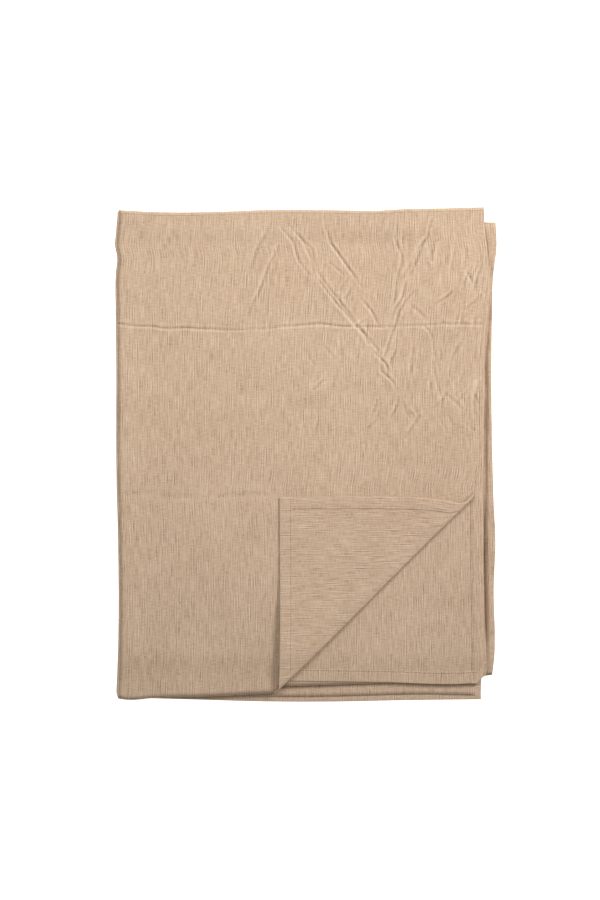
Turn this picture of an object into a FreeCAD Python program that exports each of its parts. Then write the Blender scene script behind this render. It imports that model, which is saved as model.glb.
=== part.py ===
import FreeCAD, Part
import Sketcher
import os

# A hemmed linen tablecloth, folded flat.
#
# The cloth is one woven sheet. Its width is folded in four and its length in two, so it lies as eight
# layers. The front half is the four layers on top, and the back half is the four below them. They are
# joined at the top edge, where four folds lie one inside another. Each half has its quarters numbered
# across the width of the cloth: quarter 1 is outermost, then 4, 3 and 2 towards the middle.
# One corner of the top layer is turned back along a diagonal, over the top layer.
#
# Frame: millimetres, +Z up, +Y along the length of the folded cloth towards its top folds, +X towards the
# hemmed sides. The origin is the middle of the underside.

# ---------------------------------------------------------------------------------------------------
# Driving dimensions
# ---------------------------------------------------------------------------------------------------

SIZES = [
    ("folded_width", 624, "from the left folds to the right folds"),
    ("folded_length", 812, "from the top folds to the lowest hem"),
    ("cloth_thickness", 0.6, "one layer, as it lies"),
    ("layer_clearance", 0.4, "between two layers that lie right side to right side"),
    ("hem_clearance", 0.1, "between the stitches of two hems that face each other"),
    ("hem_width", 20, "the double turn at every free edge"),
    ("hem_thickness", 0.7, "the two turns of cloth on the wrong side"),
    ("thread_width", 0.8, "a row of stitches"),
    ("thread_height", 0.15, "how far the stitches stand proud of the hem"),
    ("thread_inset", 1.6, "from the inner edge of the hem to the row of stitches"),
    ("corner_leg", 345, "how much of each edge the turned-back corner takes with it"),
    ("corner_gap", 4.0, "rise from the top layer to the turned-back corner"),
    ("fold_clearance", 1.0, "from the diagonal crease to the ends of the corner's hems"),
    ("front_1_side_inset", 22, "from the right folds to the side hem of this quarter"),
    ("front_4_side_inset", 18, "the same"),
    ("back_4_side_inset", 35, "the same"),
    ("back_1_side_inset", 25, "the same"),
    ("back_fold_inset", 12, "from the front half's right fold to the back half's"),
    ("front_1_end_inset", 8, "from the lowest hem to this quarter's hemmed end"),
    ("front_4_end_inset", 32, "the same"),
    ("front_3_end_inset", 26, "the same"),
    ("front_2_end_inset", 30, "the same"),
    ("back_2_end_inset", 22, "the same"),
    ("back_3_end_inset", 18, "the same"),
    ("back_4_end_inset", 9, "the same"),
]

doc = FreeCAD.newDocument("folded_tablecloth")
sheet = doc.addObject("Spreadsheet::Sheet", "Sizes")
for row, (alias, value, meaning) in enumerate(SIZES, start=1):
    sheet.set("A%d" % row, alias)
    sheet.set("B%d" % row, str(value))
    sheet.set("C%d" % row, meaning)
    sheet.setAlias("B%d" % row, alias)
doc.recompute()


def size(alias):
    """The expression that reads one driving dimension."""
    return "Sizes.%s" % alias


def plus(*terms):
    return " + ".join("(%s)" % term for term in terms)


def minus(first, second):
    return "(%s) - (%s)" % (first, second)


def half(term):
    return "(%s) / 2" % term


THICKNESS = size("cloth_thickness")
HEM_WIDTH = size("hem_width")
HEM_THICKNESS = size("hem_thickness")
THREAD_HEIGHT = size("thread_height")

# ---------------------------------------------------------------------------------------------------
# Heights of the layers, and the lines they fold along
# ---------------------------------------------------------------------------------------------------

# The rise from one layer's middle to the next. Hems are on the wrong side of the cloth, so two of them
# face each other in every other gap.
PLAIN_RISE = plus(THICKNESS, size("layer_clearance"))
HEM_RISE = plus(THICKNESS, HEM_THICKNESS, HEM_THICKNESS, THREAD_HEIGHT, THREAD_HEIGHT, size("hem_clearance"))
STACK = [
    ("back_4", HEM_RISE),
    ("back_3", PLAIN_RISE),
    ("back_2", HEM_RISE),
    ("front_2", PLAIN_RISE),
    ("front_3", HEM_RISE),
    ("front_4", PLAIN_RISE),
    ("front_1", HEM_RISE),
    ("corner", size("corner_gap")),
]
LEVEL = {"back_1": half(THICKNESS)}
below = "back_1"
for layer, rise in STACK:
    LEVEL[layer] = plus(LEVEL[below], rise)
    below = layer

# True where the wrong side of the cloth, and so the hem, faces up.
HEM_ABOVE = {
    "front_1": False,
    "front_4": True,
    "front_3": False,
    "front_2": True,
    "back_2": False,
    "back_3": True,
    "back_4": False,
    "back_1": True,
    "corner": True,
}


def fold_radius(upper, lower):
    """The radius of the middle of the cloth where it goes round from one layer to another."""
    return half(minus(LEVEL[upper], LEVEL[lower]))


LEFT = plus("-" + half(size("folded_width")), fold_radius("front_1", "front_2"), half(THICKNESS))
TOP = minus(half(size("folded_length")), plus(fold_radius("front_1", "back_1"), half(THICKNESS)))
OUTER_RIGHT = half(size("folded_width"))
LOWEST = "-" + half(size("folded_length"))
RIGHT_FOLD = minus(OUTER_RIGHT, plus(fold_radius("front_3", "front_2"), half(THICKNESS)))
BACK_RIGHT_FOLD = minus(RIGHT_FOLD, size("back_fold_inset"))

RIGHT = {
    "front_1": minus(OUTER_RIGHT, size("front_1_side_inset")),
    "front_4": minus(OUTER_RIGHT, size("front_4_side_inset")),
    "front_3": RIGHT_FOLD,
    "front_2": RIGHT_FOLD,
    "back_2": BACK_RIGHT_FOLD,
    "back_3": BACK_RIGHT_FOLD,
    "back_4": minus(OUTER_RIGHT, size("back_4_side_inset")),
    "back_1": minus(OUTER_RIGHT, size("back_1_side_inset")),
}
END = {layer: plus(LOWEST, size("%s_end_inset" % layer)) for layer in RIGHT if layer != "back_1"}
END["back_1"] = LOWEST

# The diagonal crease runs from the top layer's side edge to its end.
CREASE_LOW_X = minus(RIGHT["front_1"], size("corner_leg"))
CREASE_HIGH_Y = plus(END["front_1"], size("corner_leg"))
# A step square off the crease, measured along either edge.
HEM_END_STEP = "%s * sqrt(2)" % size("fold_clearance")

# ---------------------------------------------------------------------------------------------------
# Ways of making a piece
# ---------------------------------------------------------------------------------------------------

subparts = []


def keep(piece, label):
    piece.Label = label
    subparts.append(piece)
    return piece


def flat_box(name, left, right, near, far, base, height):
    """A rectangle of cloth, from left to right and near to far, standing on base."""
    box = doc.addObject("Part::Box", name)
    box.setExpression("Length", minus(right, left))
    box.setExpression("Width", minus(far, near))
    box.setExpression("Height", height)
    box.setExpression(".Placement.Base.x", left)
    box.setExpression(".Placement.Base.y", near)
    box.setExpression(".Placement.Base.z", base)
    return box


def flat_outline(name, corners, base, height):
    """A piece of cloth with straight edges through its corners, standing on base."""
    body = doc.addObject("PartDesign::Body", name)
    sketch = body.newObject("Sketcher::SketchObject", name + "_outline")
    plane = [item for item in body.Origin.OriginFeatures if item.Role == "XY_Plane"][0]
    sketch.AttachmentSupport = (plane, "")
    sketch.MapMode = "FlatFace"
    count = len(corners)
    start_points = [FreeCAD.Vector(*START_SHAPE[count][index]) for index in range(count)]
    for index in range(count):
        line = Part.LineSegment(start_points[index], start_points[(index + 1) % count])
        sketch.addGeometry(line, False)
    for index in range(count):
        following = (index + 1) % count
        sketch.addConstraint(Sketcher.Constraint("Coincident", index, 2, following, 1))
    for index, (along, across) in enumerate(corners):
        for kind, expression in (("DistanceX", along), ("DistanceY", across)):
            value = getattr(start_points[index], kind[-1].lower())
            number = sketch.addConstraint(Sketcher.Constraint(kind, -1, 1, index, 1, value))
            sketch.setExpression("Constraints[%d]" % number, expression)
    pad = body.newObject("PartDesign::Pad", name + "_cloth")
    pad.Profile = sketch
    pad.setExpression("Length", height)
    body.setExpression(".Placement.Base.z", base)
    return body


# Where a sketch's corners start before its sizes pull them into place.
START_SHAPE = {
    3: [(-100, -100, 0), (100, 100, 0), (-100, 100, 0)],
    4: [(-100, -100, 0), (100, -100, 0), (100, 100, 0), (-100, 100, 0)],
    5: [(-300, -300, 0), (50, -300, 0), (300, -50, 0), (300, 300, 0), (-300, 300, 0)],
}

# How a half tube lies: its local X, Y (the way it bulges) and Z (along its length).
UP = FreeCAD.Vector(0, 0, 1)
DOWN = FreeCAD.Vector(0, 0, -1)
BULGE_LEFT = (DOWN, FreeCAD.Vector(-1, 0, 0), FreeCAD.Vector(0, 1, 0))
BULGE_RIGHT = (UP, FreeCAD.Vector(1, 0, 0), FreeCAD.Vector(0, 1, 0))
BULGE_TOP = (DOWN, FreeCAD.Vector(0, 1, 0), FreeCAD.Vector(1, 0, 0))
BULGE_CORNER = (UP, FreeCAD.Vector(1, -1, 0), FreeCAD.Vector(1, 1, 0))


def fold(name, upper, lower, way, start, length):
    """The cloth going round from one layer to another: half a tube, from start along its length."""
    cylinders = []
    for part, side in (("outside", "+"), ("inside", "-")):
        cylinder = doc.addObject("Part::Cylinder", "%s_%s" % (name, part))
        cylinder.Angle = 180
        cylinder.Placement.Rotation = FreeCAD.Rotation(*way, "ZXY")
        radius = "%s %s %s" % (fold_radius(upper, lower), side, half(THICKNESS))
        cylinder.setExpression("Radius", radius)
        cylinder.setExpression("Height", length)
        cylinder.setExpression(".Placement.Base.x", start[0])
        cylinder.setExpression(".Placement.Base.y", start[1])
        cylinder.setExpression(".Placement.Base.z", half(plus(LEVEL[upper], LEVEL[lower])))
        cylinders.append(cylinder)
    tube = doc.addObject("Part::Cut", name)
    tube.Base, tube.Tool = cylinders
    return keep(tube, name)


def cloth_base(layer):
    return minus(LEVEL[layer], half(THICKNESS))


def hem_base(layer):
    """The underside of a layer's hem, which is on top of the layer or beneath it."""
    if HEM_ABOVE[layer]:
        return plus(LEVEL[layer], half(THICKNESS))
    return minus(cloth_base(layer), HEM_THICKNESS)


def thread_base(layer):
    """The underside of the stitches that show on the hem's open face."""
    if HEM_ABOVE[layer]:
        return plus(hem_base(layer), HEM_THICKNESS)
    return minus(hem_base(layer), THREAD_HEIGHT)


def hem_name(layer, edge):
    """front_1 and side make front_side_hem_1, and corner and side make corner_side_hem."""
    half_name, _, quarter = layer.partition("_")
    return "_".join(word for word in (half_name, edge, "hem", quarter) if word)


# ---------------------------------------------------------------------------------------------------
# The eight layers of cloth
# ---------------------------------------------------------------------------------------------------

for layer in RIGHT:
    label = layer.replace("_", "_panel_")
    if layer != "front_1":
        panel = flat_box(label, LEFT, RIGHT[layer], END[layer], TOP, cloth_base(layer), THICKNESS)
    else:
        corners = [
            (LEFT, END[layer]),
            (CREASE_LOW_X, END[layer]),
            (RIGHT[layer], CREASE_HIGH_Y),
            (RIGHT[layer], TOP),
            (LEFT, TOP),
        ]
        panel = flat_outline(label, corners, cloth_base(layer), THICKNESS)
    keep(panel, label)

# ---------------------------------------------------------------------------------------------------
# The folds between the layers
# ---------------------------------------------------------------------------------------------------

for half_name in ("front", "back"):
    one, two, three, four = ["%s_%d" % (half_name, quarter) for quarter in (1, 2, 3, 4)]
    outer, middle = (one, two) if half_name == "front" else (two, one)
    fold(half_name + "_left_fold_outer", outer, middle, BULGE_LEFT, (LEFT, END[two]), minus(TOP, END[two]))
    outer, middle = (four, three) if half_name == "front" else (three, four)
    fold(half_name + "_left_fold_inner", outer, middle, BULGE_LEFT, (LEFT, END[three]), minus(TOP, END[three]))
    outer, middle = (three, two) if half_name == "front" else (two, three)
    fold(half_name + "_right_fold", outer, middle, BULGE_RIGHT, (RIGHT[two], END[two]), minus(TOP, END[two]))

for quarter in (1, 2, 3, 4):
    upper, lower = "front_%d" % quarter, "back_%d" % quarter
    fold("top_fold_%d" % quarter, upper, lower, BULGE_TOP, (LEFT, TOP), minus(RIGHT[upper], LEFT))

# ---------------------------------------------------------------------------------------------------
# The hems, turned twice to the wrong side and stitched
# ---------------------------------------------------------------------------------------------------

threads = {"front": [], "back": [], "corner": []}


def stitch_row(layer, edge, left, right, near, far):
    """A row of stitches between the given limits, on the open face of a layer's hem."""
    half_name = layer.partition("_")[0]
    name = hem_name(layer, edge) + "_row"
    threads[half_name].append(flat_box(name, left, right, near, far, thread_base(layer), THREAD_HEIGHT))


THREAD_IN = plus(size("thread_inset"), size("thread_width"))

for layer in RIGHT:
    hem_top = plus(END[layer], HEM_WIDTH)
    row_near = minus(hem_top, THREAD_IN)
    row_far = minus(hem_top, size("thread_inset"))
    end_label = hem_name(layer, "end")
    side_label = hem_name(layer, "side")
    hem_left = minus(RIGHT[layer], HEM_WIDTH)
    row_left = plus(hem_left, size("thread_inset"))
    row_right = plus(hem_left, THREAD_IN)
    if layer == "front_1":
        # These two hems stop at the diagonal crease, and go on round the turned-back corner.
        end_corners = [
            (LEFT, END[layer]),
            (CREASE_LOW_X, END[layer]),
            (plus(CREASE_LOW_X, HEM_WIDTH), hem_top),
            (LEFT, hem_top),
        ]
        side_corners = [
            (hem_left, minus(CREASE_HIGH_Y, HEM_WIDTH)),
            (RIGHT[layer], CREASE_HIGH_Y),
            (RIGHT[layer], TOP),
            (hem_left, TOP),
        ]
        keep(flat_outline(end_label, end_corners, hem_base(layer), HEM_THICKNESS), end_label)
        keep(flat_outline(side_label, side_corners, hem_base(layer), HEM_THICKNESS), side_label)
        stitch_row(layer, "end", LEFT, CREASE_LOW_X, row_near, row_far)
        stitch_row(layer, "side", row_left, row_right, CREASE_HIGH_Y, TOP)
        continue
    end_hem = flat_box(end_label, LEFT, RIGHT[layer], END[layer], hem_top, hem_base(layer), HEM_THICKNESS)
    keep(end_hem, end_label)
    stitch_row(layer, "end", LEFT, RIGHT[layer], row_near, row_far)
    if layer in ("front_4", "back_4", "back_1"):
        side_hem = flat_box(side_label, hem_left, RIGHT[layer], hem_top, TOP, hem_base(layer), HEM_THICKNESS)
        keep(side_hem, side_label)
        stitch_row(layer, "side", row_left, row_right, hem_top, TOP)

# ---------------------------------------------------------------------------------------------------
# The turned-back corner
# ---------------------------------------------------------------------------------------------------

TIP_X, TIP_Y = CREASE_LOW_X, CREASE_HIGH_Y
crease_points = [(CREASE_LOW_X, END["front_1"]), (RIGHT["front_1"], CREASE_HIGH_Y), (TIP_X, TIP_Y)]
keep(flat_outline("corner_flap", crease_points, cloth_base("corner"), THICKNESS), "corner_flap")

crease_start = (CREASE_LOW_X, END["front_1"])
crease_length = "%s * sqrt(2)" % size("corner_leg")
fold("corner_fold", "corner", "front_1", BULGE_CORNER, crease_start, crease_length)

# The layer's end hem is now upright along the corner's left edge, and its side hem along the top edge.
hem_inner_x = plus(TIP_X, HEM_WIDTH)
hem_inner_y = minus(TIP_Y, HEM_WIDTH)
end_hem_corners = [
    (TIP_X, plus(END["front_1"], HEM_END_STEP)),
    (hem_inner_x, plus(END["front_1"], HEM_WIDTH, HEM_END_STEP)),
    (hem_inner_x, TIP_Y),
    (TIP_X, TIP_Y),
]
side_hem_corners = [
    (hem_inner_x, hem_inner_y),
    (minus(RIGHT["front_1"], plus(HEM_WIDTH, HEM_END_STEP)), hem_inner_y),
    (minus(RIGHT["front_1"], HEM_END_STEP), TIP_Y),
    (hem_inner_x, TIP_Y),
]
keep(flat_outline("corner_end_hem", end_hem_corners, hem_base("corner"), HEM_THICKNESS), "corner_end_hem")
keep(flat_outline("corner_side_hem", side_hem_corners, hem_base("corner"), HEM_THICKNESS), "corner_side_hem")

row_left = minus(hem_inner_x, THREAD_IN)
row_right = minus(hem_inner_x, size("thread_inset"))
row_low = plus(END["front_1"], HEM_WIDTH, HEM_END_STEP)
stitch_row("corner", "end", row_left, row_right, row_low, TIP_Y)
row_near = plus(hem_inner_y, size("thread_inset"))
row_far = plus(hem_inner_y, THREAD_IN)
row_end = minus(RIGHT["front_1"], plus(HEM_WIDTH, HEM_END_STEP))
stitch_row("corner", "side", hem_inner_x, row_end, row_near, row_far)

for half_name, rows in threads.items():
    label = half_name + "_hem_thread"
    compound = doc.addObject("Part::Compound", label)
    compound.Links = rows
    keep(compound, label)

# ---------------------------------------------------------------------------------------------------
# Check every object, then write each piece to its own file
# ---------------------------------------------------------------------------------------------------

doc.recompute()
for item in doc.Objects:
    if "Invalid" in item.State or "Error" in item.State:
        raise RuntimeError("%s did not recompute: %s" % (item.Label, item.State))
for piece in subparts:
    shape = piece.Shape
    if shape.isNull() or not shape.isValid() or not shape.Solids:
        raise RuntimeError("%s has no valid solid" % piece.Label)

os.makedirs("parts", exist_ok=True)
for piece in subparts:
    piece.Shape.exportStep("parts/%s.step" % piece.Label)

box = Part.makeCompound([piece.Shape for piece in subparts]).BoundBox
print("%d pieces" % len(subparts))
print("X %.2f to %.2f, Y %.2f to %.2f, Z %.2f to %.2f" % (
    box.XMin, box.XMax, box.YMin, box.YMax, box.ZMin, box.ZMax))
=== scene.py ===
# %% [markdown]
# # A folded linen tablecloth
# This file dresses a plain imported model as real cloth. The plain model is eight flat layers with their
# folds and hems, and it never changes here. The cloth on the real object is one sheet, 1.6 by 2.4 metres,
# folded in four across its width and in two along its length, with one corner of the top layer turned back.
# So every visible piece below is a region of that one sheet. Each starts as a flat grid whose points know
# their place on the flat cloth, and each is then carried to where the folding puts it.

# %% Load the frame
import math
import random

import bmesh
import bpy
import numpy as np
from mathutils import Matrix, Vector


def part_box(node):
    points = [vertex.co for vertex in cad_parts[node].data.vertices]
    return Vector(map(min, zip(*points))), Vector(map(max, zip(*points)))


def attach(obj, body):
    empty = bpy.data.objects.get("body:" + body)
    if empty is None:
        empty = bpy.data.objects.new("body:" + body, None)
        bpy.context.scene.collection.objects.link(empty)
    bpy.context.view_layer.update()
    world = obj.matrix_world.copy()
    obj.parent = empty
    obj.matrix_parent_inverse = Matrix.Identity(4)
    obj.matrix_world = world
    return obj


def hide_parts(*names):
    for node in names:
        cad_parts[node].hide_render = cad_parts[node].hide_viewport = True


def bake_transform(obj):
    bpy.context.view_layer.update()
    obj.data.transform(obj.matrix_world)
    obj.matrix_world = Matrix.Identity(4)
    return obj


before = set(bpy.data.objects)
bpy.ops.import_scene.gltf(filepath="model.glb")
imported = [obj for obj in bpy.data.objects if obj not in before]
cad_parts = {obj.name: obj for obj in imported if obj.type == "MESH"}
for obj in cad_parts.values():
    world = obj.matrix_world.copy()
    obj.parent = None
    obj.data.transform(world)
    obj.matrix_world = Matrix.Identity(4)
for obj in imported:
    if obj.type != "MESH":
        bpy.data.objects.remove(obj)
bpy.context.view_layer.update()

MM = 0.001
random.seed(7)

# %% [markdown]
# ## Camera, floor and light
# Folded table linen is shown from straight above, with almost no perspective. A long lens five metres up
# gives that look. An orthographic camera would too, but a long lens keeps the slight spread that a real one
# has. The frame is 36 mm tall on the sensor, so the lens length follows from how much of the floor it takes
# in.

# %% The camera, straight above
CAMERA_HEIGHT = 5.0
SEEN_LENGTH = 1.4823
SENSOR = 36.0

camera_data = bpy.data.cameras.new("camera")
camera_data.sensor_width = SENSOR
camera_data.lens = SENSOR * CAMERA_HEIGHT / SEEN_LENGTH
camera = bpy.data.objects.new("camera", camera_data)
camera.location = (-0.0107, 0.0074, CAMERA_HEIGHT)
bpy.context.collection.objects.link(camera)
bpy.context.scene.camera = camera
bpy.context.scene.view_settings.view_transform = "Standard"
print("lens %.1f mm" % camera_data.lens)

# %% [markdown]
# The floor is a plain white sweep. It glows a little, which is how a backdrop lit from behind behaves, so it
# stays white right up to the cloth.

# %% The floor
def plain_floor(width, glow):
    mesh = bpy.data.meshes.new("floor")
    bm = bmesh.new()
    bmesh.ops.create_grid(bm, x_segments=1, y_segments=1, size=width / 2)
    bmesh.ops.translate(bm, verts=bm.verts, vec=(0, 0, -0.3 * MM))
    bm.to_mesh(mesh)
    bm.free()
    floor = bpy.data.objects.new("floor", mesh)
    bpy.context.collection.objects.link(floor)
    paint = bpy.data.materials.new("white_sweep")
    paint.use_nodes = True
    shader = paint.node_tree.nodes["Principled BSDF"]
    shader.inputs["Base Color"].default_value = (0.93, 0.93, 0.93, 1)
    shader.inputs["Roughness"].default_value = 0.9
    shader.inputs["Emission Color"].default_value = (1, 1, 1, 1)
    shader.inputs["Emission Strength"].default_value = glow
    mesh.materials.append(paint)
    return floor


floor = plain_floor(80.0, 0.8)

# %% [markdown]
# Two soft lamps and an even sky light the cloth. The key lamp stands beyond the top edge and to the right,
# so the hemmed end is a little darker, and every crease has a bright and a dark side.

# %% The lamp and the sky
def soft_lamp(name, place, aim, size, power):
    lamp_data = bpy.data.lights.new(name, "AREA")
    lamp_data.shape = "DISK"
    lamp_data.size = size
    lamp_data.energy = power
    lamp = bpy.data.objects.new(name, lamp_data)
    lamp.location = place
    lamp.rotation_euler = (Vector(aim) - Vector(place)).to_track_quat("-Z", "Y").to_euler()
    bpy.context.collection.objects.link(lamp)
    lamp.visible_camera = False
    return lamp


soft_lamp("key_lamp", (1.75, 1.45, 1.55), (0.0, 0.0, 0), 0.9, 62)
soft_lamp("top_lamp", (-0.32, 0.42, 1.2), (-0.1, 0.15, 0), 0.7, 7.0)
world = bpy.data.worlds.new("even_sky")
world.use_nodes = True
world.node_tree.nodes["Background"].inputs["Color"].default_value = (1, 1, 1, 1)
world.node_tree.nodes["Background"].inputs["Strength"].default_value = 0.3
bpy.context.scene.world = world

# %% [markdown]
# ## The cloth's flat plan
# The sheet is measured from quarter 1's hemmed side, across the width, to quarter 4's. Between two quarters
# there is a short stretch that goes round a fold. Heights come from the frame: the middle of each packed
# panel. The lengths of the folds follow from those heights.

# %% Layer heights and fold lines, read from the frame
def middle_height(node):
    low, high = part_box(node)
    return (low[2] + high[2]) / 2


HEIGHT = {}
for half in ("front", "back"):
    for quarter in (1, 2, 3, 4):
        HEIGHT[half, quarter] = middle_height("%s_panel_%d" % (half, quarter))
MIDDLE = (HEIGHT["front", 1] + HEIGHT["back", 1]) / 2
OFFSET = {quarter: HEIGHT["front", quarter] - MIDDLE for quarter in (1, 2, 3, 4)}
FOLD_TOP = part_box("back_panel_1")[1][1]
print("offsets from the middle, mm:", {quarter: round(rise / MM, 2) for quarter, rise in OFFSET.items()})

# %% Widths of the regions across the flat cloth
QUARTER_WIDTH = {1: 0.598, 2: 0.616, 3: 0.616, 4: 0.598}
HALF_LENGTH = 0.798
TOP_ROUND = 0.014


def across_cloth():
    """The regions across the width: (name, where it starts, where it ends)."""
    outer = math.pi * (OFFSET[1] - OFFSET[2]) / 2
    right = math.pi * (OFFSET[3] - OFFSET[2]) / 2
    inner = math.pi * (OFFSET[4] - OFFSET[3]) / 2
    widths = [
        ("quarter_1", QUARTER_WIDTH[1]),
        ("outer_fold", outer),
        ("quarter_2", QUARTER_WIDTH[2]),
        ("right_fold", right),
        ("quarter_3", QUARTER_WIDTH[3]),
        ("inner_fold", inner),
        ("quarter_4", QUARTER_WIDTH[4]),
    ]
    place = 0.0
    regions = {}
    for name, width in widths:
        regions[name] = (place, place + width)
        place += width
    return regions


ACROSS = across_cloth()
FLAT_WIDTH = ACROSS["quarter_4"][1]
print("the flat cloth is %.3f by %.3f m" % (FLAT_WIDTH, 2 * HALF_LENGTH + TOP_ROUND))

# %% [markdown]
# ## Edges that wander
# Nothing on folded linen is straight. Each edge is a smooth curve through a few places, in millimetres in
# the frame. A Catmull-Rom style curve passes through each place with no corner, which suits cloth.

# %% A smooth curve through a few places
def through(places, at):
    """The value at each point of at, on a smooth curve through (place, value) pairs."""
    xs = np.array([place for place, _ in places], float)
    ys = np.array([value for _, value in places], float)
    slopes = np.gradient(ys, xs)
    index = np.clip(np.searchsorted(xs, at) - 1, 0, len(xs) - 2)
    step = xs[index + 1] - xs[index]
    t = np.clip((at - xs[index]) / step, 0, 1)
    first = (2 * t**3 - 3 * t**2 + 1) * ys[index] + (t**3 - 2 * t**2 + t) * step * slopes[index]
    second = (3 * t**2 - 2 * t**3) * ys[index + 1] + (t**3 - t**2) * step * slopes[index + 1]
    return first + second


def ramp(at, start, end):
    """0 before start, 1 after end, and smooth between them."""
    t = np.clip((at - start) / (end - start), 0, 1)
    return t * t * (3 - 2 * t)


def ripple(x, y, wave, seed):
    """Even noise between about -1 and 1, with bumps about one wave apart."""
    x, y = np.broadcast_arrays(x / wave, y / wave)
    slopes = np.random.default_rng(seed).uniform(0, 2 * np.pi, (256, 256))
    column, row = np.floor(x).astype(int), np.floor(y).astype(int)
    total = np.zeros(x.shape)
    for side in (0, 1):
        for end in (0, 1):
            slope = slopes[(column + side) % 256, (row + end) % 256]
            from_x, from_y = x - column - side, y - row - end
            fade = (1 - ramp(np.abs(from_x), 0, 1)) * (1 - ramp(np.abs(from_y), 0, 1))
            total += fade * (from_x * np.cos(slope) + from_y * np.sin(slope))
    return total * 1.6


# %% [markdown]
# The left folds, the top folds, each quarter's right edge and each quarter's end have a curve each. A
# share of 0 down the layer is the top fold, and 1 is the hemmed end. Front and back quarters meet at the
# top fold, so their edges agree there.

# %% The outlines of the layers, in millimetres
LEFT_EDGE = [(-400, -313), (-332, -310.2), (-137, -310.2), (-42, -312.6), (172, -313.2), (235, -314),
             (300, -313.8), (329, -311.6), (348, -315), (372, -313.2), (400, -310.8)]
TOP_EDGE = [(-312, 0), (-250, -3.6), (-165, -3.8), (-60, 0.2), (30, 0), (125, -0.6), (160, 1.8), (200, 2.6),
            (292, 5.2)]
RIGHT_EDGE = {
    ("front", 1): [(0, 292), (0.04, 292.6), (0.08, 297), (0.15, 297), (0.19, 292.5), (0.25, 288),
                   (0.31, 284), (0.42, 283), (0.52, 283), (0.55, 280), (0.575, 275), (0.6, 277),
                   (0.65, 282), (0.72, 283), (1, 283)],
    ("front", 4): [(0, 290), (0.08, 292), (0.13, 300), (0.16, 301), (0.23, 296), (0.28, 292.5),
                   (0.4, 291.5), (0.56, 290), (0.75, 290), (0.93, 292), (1, 291)],
    ("front", 3): [(0, 310), (0.04, 312), (0.12, 306), (0.2, 304.4), (0.45, 304), (0.54, 305.4),
                   (0.62, 307.2), (0.7, 310), (0.8, 307.4), (0.97, 307.5), (1, 305)],
    ("front", 2): [(0, 310), (0.04, 311), (0.12, 305), (0.2, 303.4), (0.45, 303), (0.54, 304.4),
                   (0.62, 306.2), (0.7, 309), (0.8, 306.4), (0.97, 306.5), (1, 304)],
    ("back", 2): [(0, 310), (0.2, 303), (0.5, 300), (0.75, 291), (1, 282)],
    ("back", 3): [(0, 310), (0.2, 303), (0.5, 300), (0.75, 291), (1, 282)],
    ("back", 4): [(0, 290), (0.3, 286), (1, 277)],
    ("back", 1): [(0, 292), (0.1, 290), (0.5, 288), (1, 287.4)],
}
END_EDGE = {
    ("front", 1): [(-312, -400.3), (-295, -402.6), (-250, -399.6), (-160, -397), (-60, -392),
                   (300, -390)],
    ("front", 4): [(-312, -371), (-27, -372), (120, -374), (270, -376), (282, -375), (289, -366),
                   (300, -362)],
    ("front", 3): [(-312, -383), (-20, -380), (38, -378.2), (110, -375.6), (185, -374), (262, -372),
                   (300, -362)],
    ("front", 2): [(-312, -378), (-20, -375), (60, -373), (185, -371), (262, -369), (300, -360)],
    ("back", 2): [(-312, -378), (100, -372), (220, -370), (300, -360)],
    ("back", 3): [(-312, -379), (100, -373), (220, -371), (300, -360)],
    ("back", 4): [(-312, -396), (38, -398.4), (110, -396.5), (180, -395), (276, -396.6)],
    ("back", 1): [(-312, -399), (-175, -403), (-75, -405.8), (70, -405.8), (137, -404.3),
                  (287, -402.3)],
}

# %% [markdown]
# `plan` turns a place on a layer, given as shares across and down it, into a place on the floor plan. The
# inner quarters were folded a little short near their right fold, so there their top fold lies lower.

# %% From shares of a layer to the floor plan
LEFT_REACH = (OFFSET[1] - OFFSET[2]) / 2 + 0.3 * MM


def fold_left_at(y):
    """Where the left folds' centre line lies."""
    return through(LEFT_EDGE, y / MM) * MM + LEFT_REACH


def fold_top_at(x, quarter):
    """Where the top folds' centre line lies. The outer quarters reach furthest."""
    inward = {1: 0.0, 4: 1.2 * MM, 3: 2.6 * MM, 2: 3.4 * MM}[quarter]
    short = 19 * MM * ramp(x, 0.2, 0.3) if quarter in (2, 3) else 0.0
    return FOLD_TOP + through(TOP_EDGE, x / MM) * MM * 0.9 - 3.4 * MM - inward - short


def plan(half, quarter, share_across, share_down):
    """Places on the floor plan. share_across runs from the left folds to the right edge."""
    right = through(RIGHT_EDGE[half, quarter], share_down) * MM
    left = fold_left_at(FOLD_TOP + (-0.398 - FOLD_TOP) * share_down)
    x = left + (right - left) * share_across
    top = fold_top_at(x, quarter)
    end = through(END_EDGE[half, quarter], x / MM) * MM
    y = top + (end - top) * share_down
    return x, y


# %% [markdown]
# ## Heights that sink and swell
# Hems are thick and folds are springy, so a folded cloth is deepest round its edges and sinks in the
# middle. One factor scales every layer's height at a place, which keeps the layers in order. The inner
# quarters' right folds stand up as a soft ridge outside the upper layers' edges, with a dark gap between.

# %% How deep the pile is, as a share of its full height
def near_top(y):
    """0 down the cloth, and 1 beside the top folds, where the pile keeps its full height."""
    return ramp(y, 0.345, 0.374)


def pile_share(x, y):
    inside_right = 1 - ramp(x, 0.15, 0.27)
    inside_end = ramp(y, -0.375, -0.28)
    inside_left = ramp(x, -0.312, -0.26)
    inside_top = 1 - ramp(y, 0.34, 0.402)
    sink = 0.2 * inside_right * inside_end * inside_left * inside_top
    pressed_end = 0.34 * (1 - ramp(y, -0.372, -0.325))
    swell = 0.022 * ripple(x, y, 0.21, 1) + 0.012 * ripple(x, y, 0.09, 2)
    share = 0.98 - sink - pressed_end + swell
    return share * (1 - near_top(y)) + near_top(y)


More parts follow.
